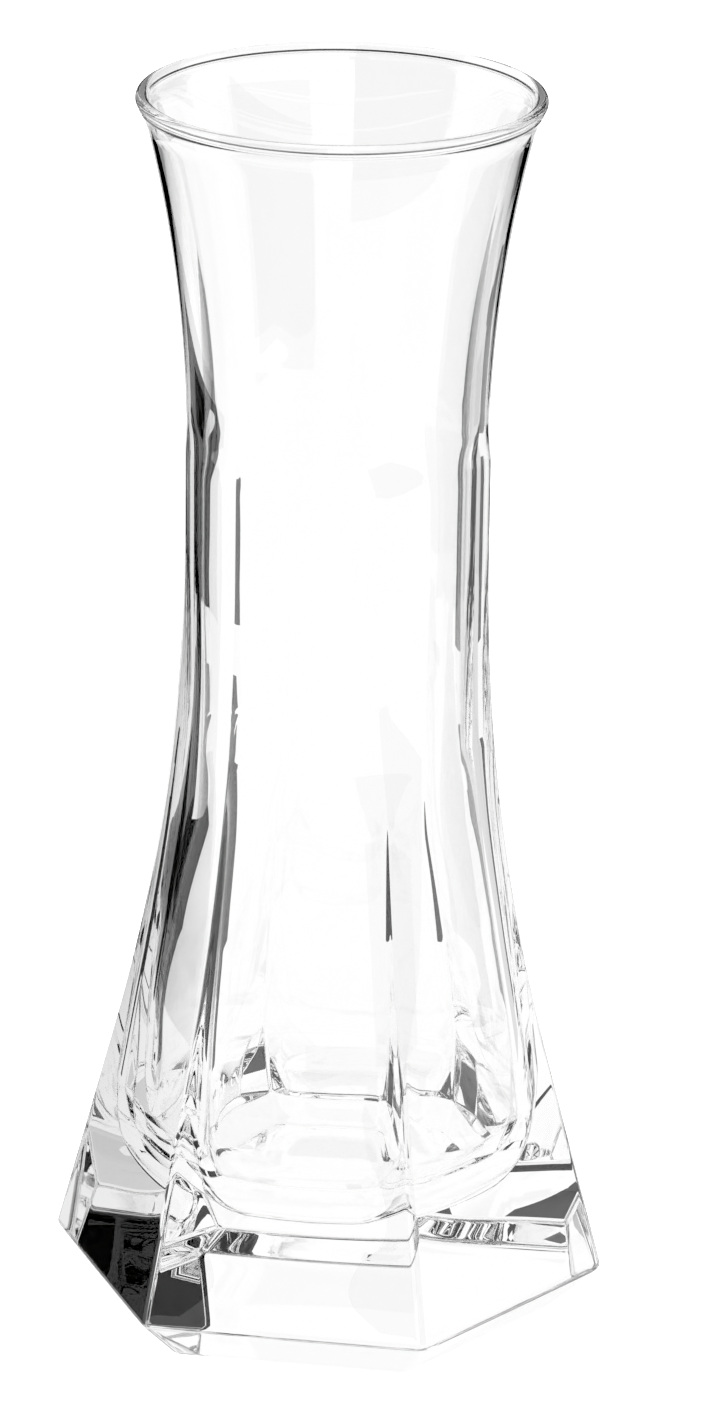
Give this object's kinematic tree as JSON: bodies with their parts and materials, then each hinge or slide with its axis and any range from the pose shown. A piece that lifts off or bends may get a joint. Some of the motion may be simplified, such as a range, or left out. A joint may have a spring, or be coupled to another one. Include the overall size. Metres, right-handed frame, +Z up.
{
  "type": "glass bud vase",
  "caption": "Slim pressed-glass bud vase: heavy bevelled hexagonal foot, tapering facets that fade into a round waist, and a flared mouth with a rounded rim bead.",
  "frame": {"origin": "centre of the flat resting face, on the vase's axis", "axes": "+Z up the vase's axis towards the mouth, +X through one ridge of the hexagon, -Y out of the middle of one facet"},
  "size_m": [0.0856, 0.0744, 0.19],
  "materials": {
    "clear_glass": "polished"
  },
  "bodies": {
    "root": {"vase_body": "clear_glass"}
  },
  "joints": []
}
